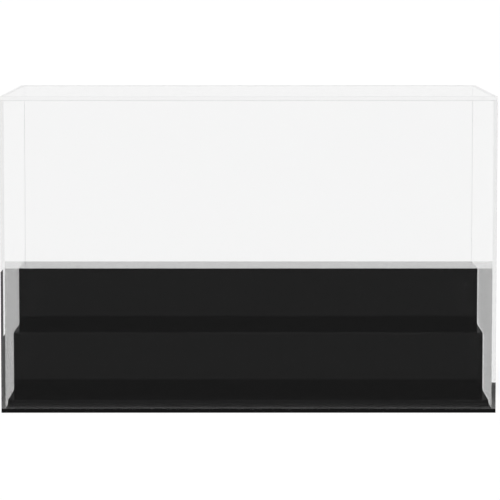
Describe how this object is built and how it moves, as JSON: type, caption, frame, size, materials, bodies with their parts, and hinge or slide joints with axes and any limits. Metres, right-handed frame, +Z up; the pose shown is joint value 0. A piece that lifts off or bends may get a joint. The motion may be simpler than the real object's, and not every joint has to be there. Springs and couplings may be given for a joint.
{
  "type": "acrylic display box",
  "caption": "Clear acrylic box cover that lifts off a black acrylic base plate, over a loose stepped black riser for showing small collectibles in tiers.",
  "frame": {"origin": "centre of the base plate's underside", "axes": "+Z up, +X along the case's width, the stepped front faces -Y"},
  "size_m": [0.25, 0.15, 0.16],
  "materials": {
    "cover": "clear acrylic sheet with polished edges",
    "base": "black acrylic sheet with polished edges",
    "riser": "black acrylic sheet with polished edges"
  },
  "bodies": {
    "base": {"base_plate": "base"},
    "cover": {"cover_front": "cover", "cover_back": "cover", "cover_left": "cover", "cover_right": "cover", "cover_top": "cover"},
    "riser": {"riser_floor": "riser", "riser_left_end": "riser", "riser_right_end": "riser", "riser_back": "riser", "lower_front": "riser", "lower_tread": "riser", "upper_front": "riser", "upper_tread": "riser"}
  },
  "joints": [
    {"name": "cover_lift", "type": "slide", "parent": "base", "child": "cover", "axis": [0, 0, 1], "range_m": [0, 0.17]},
    {"name": "riser_lift", "type": "slide", "parent": "base", "child": "riser", "axis": [0, 0, 1], "range_m": [0, 0.08]}
  ]
}
